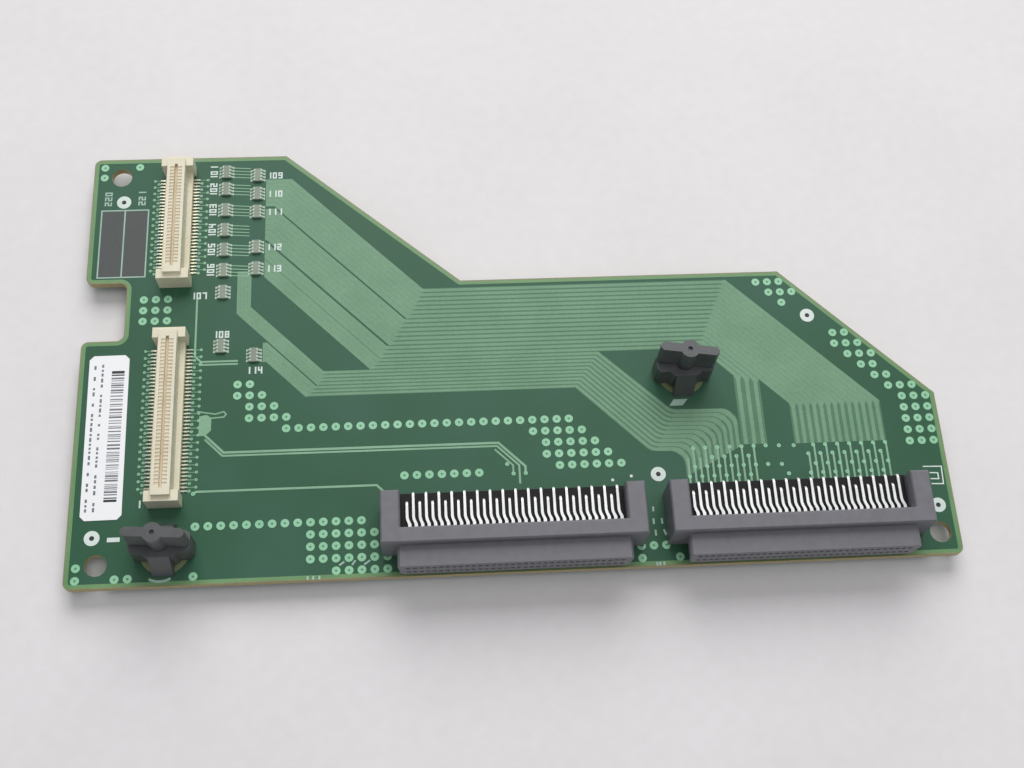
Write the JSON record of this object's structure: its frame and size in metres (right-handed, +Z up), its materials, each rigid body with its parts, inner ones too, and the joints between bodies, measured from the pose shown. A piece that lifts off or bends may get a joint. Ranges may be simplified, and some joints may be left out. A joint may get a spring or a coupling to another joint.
{
  "type": "daughterboard",
  "caption": "Stepped green circuit board with wide right-angle ports on its front edge, slim cream headers down one side and black winged quarter-turn fasteners.",
  "frame": {"origin": "axis of the front left mounting hole, on the board's underside", "axes": "+X along the front edge to the right, +Y from the front edge to the back, +Z up out of the component side"},
  "size_m": [0.1795, 0.0978, 0.017],
  "materials": {
    "solder_mask": "satin green solder mask",
    "masked_copper": "copper under green solder mask",
    "panel_print": "matt print",
    "label_paper": "white coated paper",
    "black_moulding": "fine matt moulded",
    "black_nylon": "moulded",
    "cream_moulding": "moulded",
    "tinned_contact": "bright tin",
    "spring_contact": "thin gold flash over nickel",
    "network_ceramic": "glazed ceramic"
  },
  "bodies": {
    "board": {"circuit_board": "solder_mask", "trace_field": "masked_copper", "marking_panel": "panel_print", "paper_label": "label_paper", "left_port_housing": "black_moulding", "left_port_upper_contacts": "tinned_contact", "left_port_lower_contacts": "tinned_contact", "right_port_housing": "black_moulding", "right_port_upper_contacts": "tinned_contact", "right_port_lower_contacts": "tinned_contact", "lower_header_housing": "cream_moulding", "lower_header_left_springs": "spring_contact", "lower_header_right_springs": "spring_contact", "upper_header_housing": "cream_moulding", "upper_header_left_springs": "spring_contact", "upper_header_right_springs": "spring_contact", "resistor_network_1": "network_ceramic", "resistor_network_2": "network_ceramic", "resistor_network_3": "network_ceramic", "resistor_network_4": "network_ceramic", "resistor_network_5": "network_ceramic", "resistor_network_6": "network_ceramic", "resistor_network_7": "network_ceramic", "resistor_network_8": "network_ceramic", "resistor_network_9": "network_ceramic", "resistor_network_10": "network_ceramic", "resistor_network_11": "network_ceramic", "resistor_network_12": "network_ceramic", "resistor_network_13": "network_ceramic", "resistor_network_14": "network_ceramic", "left_fastener_sleeve": "black_nylon", "right_fastener_sleeve": "black_nylon"},
    "left_knob": {"left_fastener_knob": "black_nylon"},
    "right_knob": {"right_fastener_knob": "black_nylon"}
  },
  "joints": [
    {"name": "left_knob_turn", "type": "hinge", "parent": "board", "child": "left_knob", "pos_m": [0.0133, 0.0026, 0], "axis": [0, 0, 1], "range_deg": [0, 90]},
    {"name": "right_knob_turn", "type": "hinge", "parent": "board", "child": "right_knob", "pos_m": [0.1198, 0.037, 0], "axis": [0, 0, 1], "range_deg": [0, 90]}
  ]
}
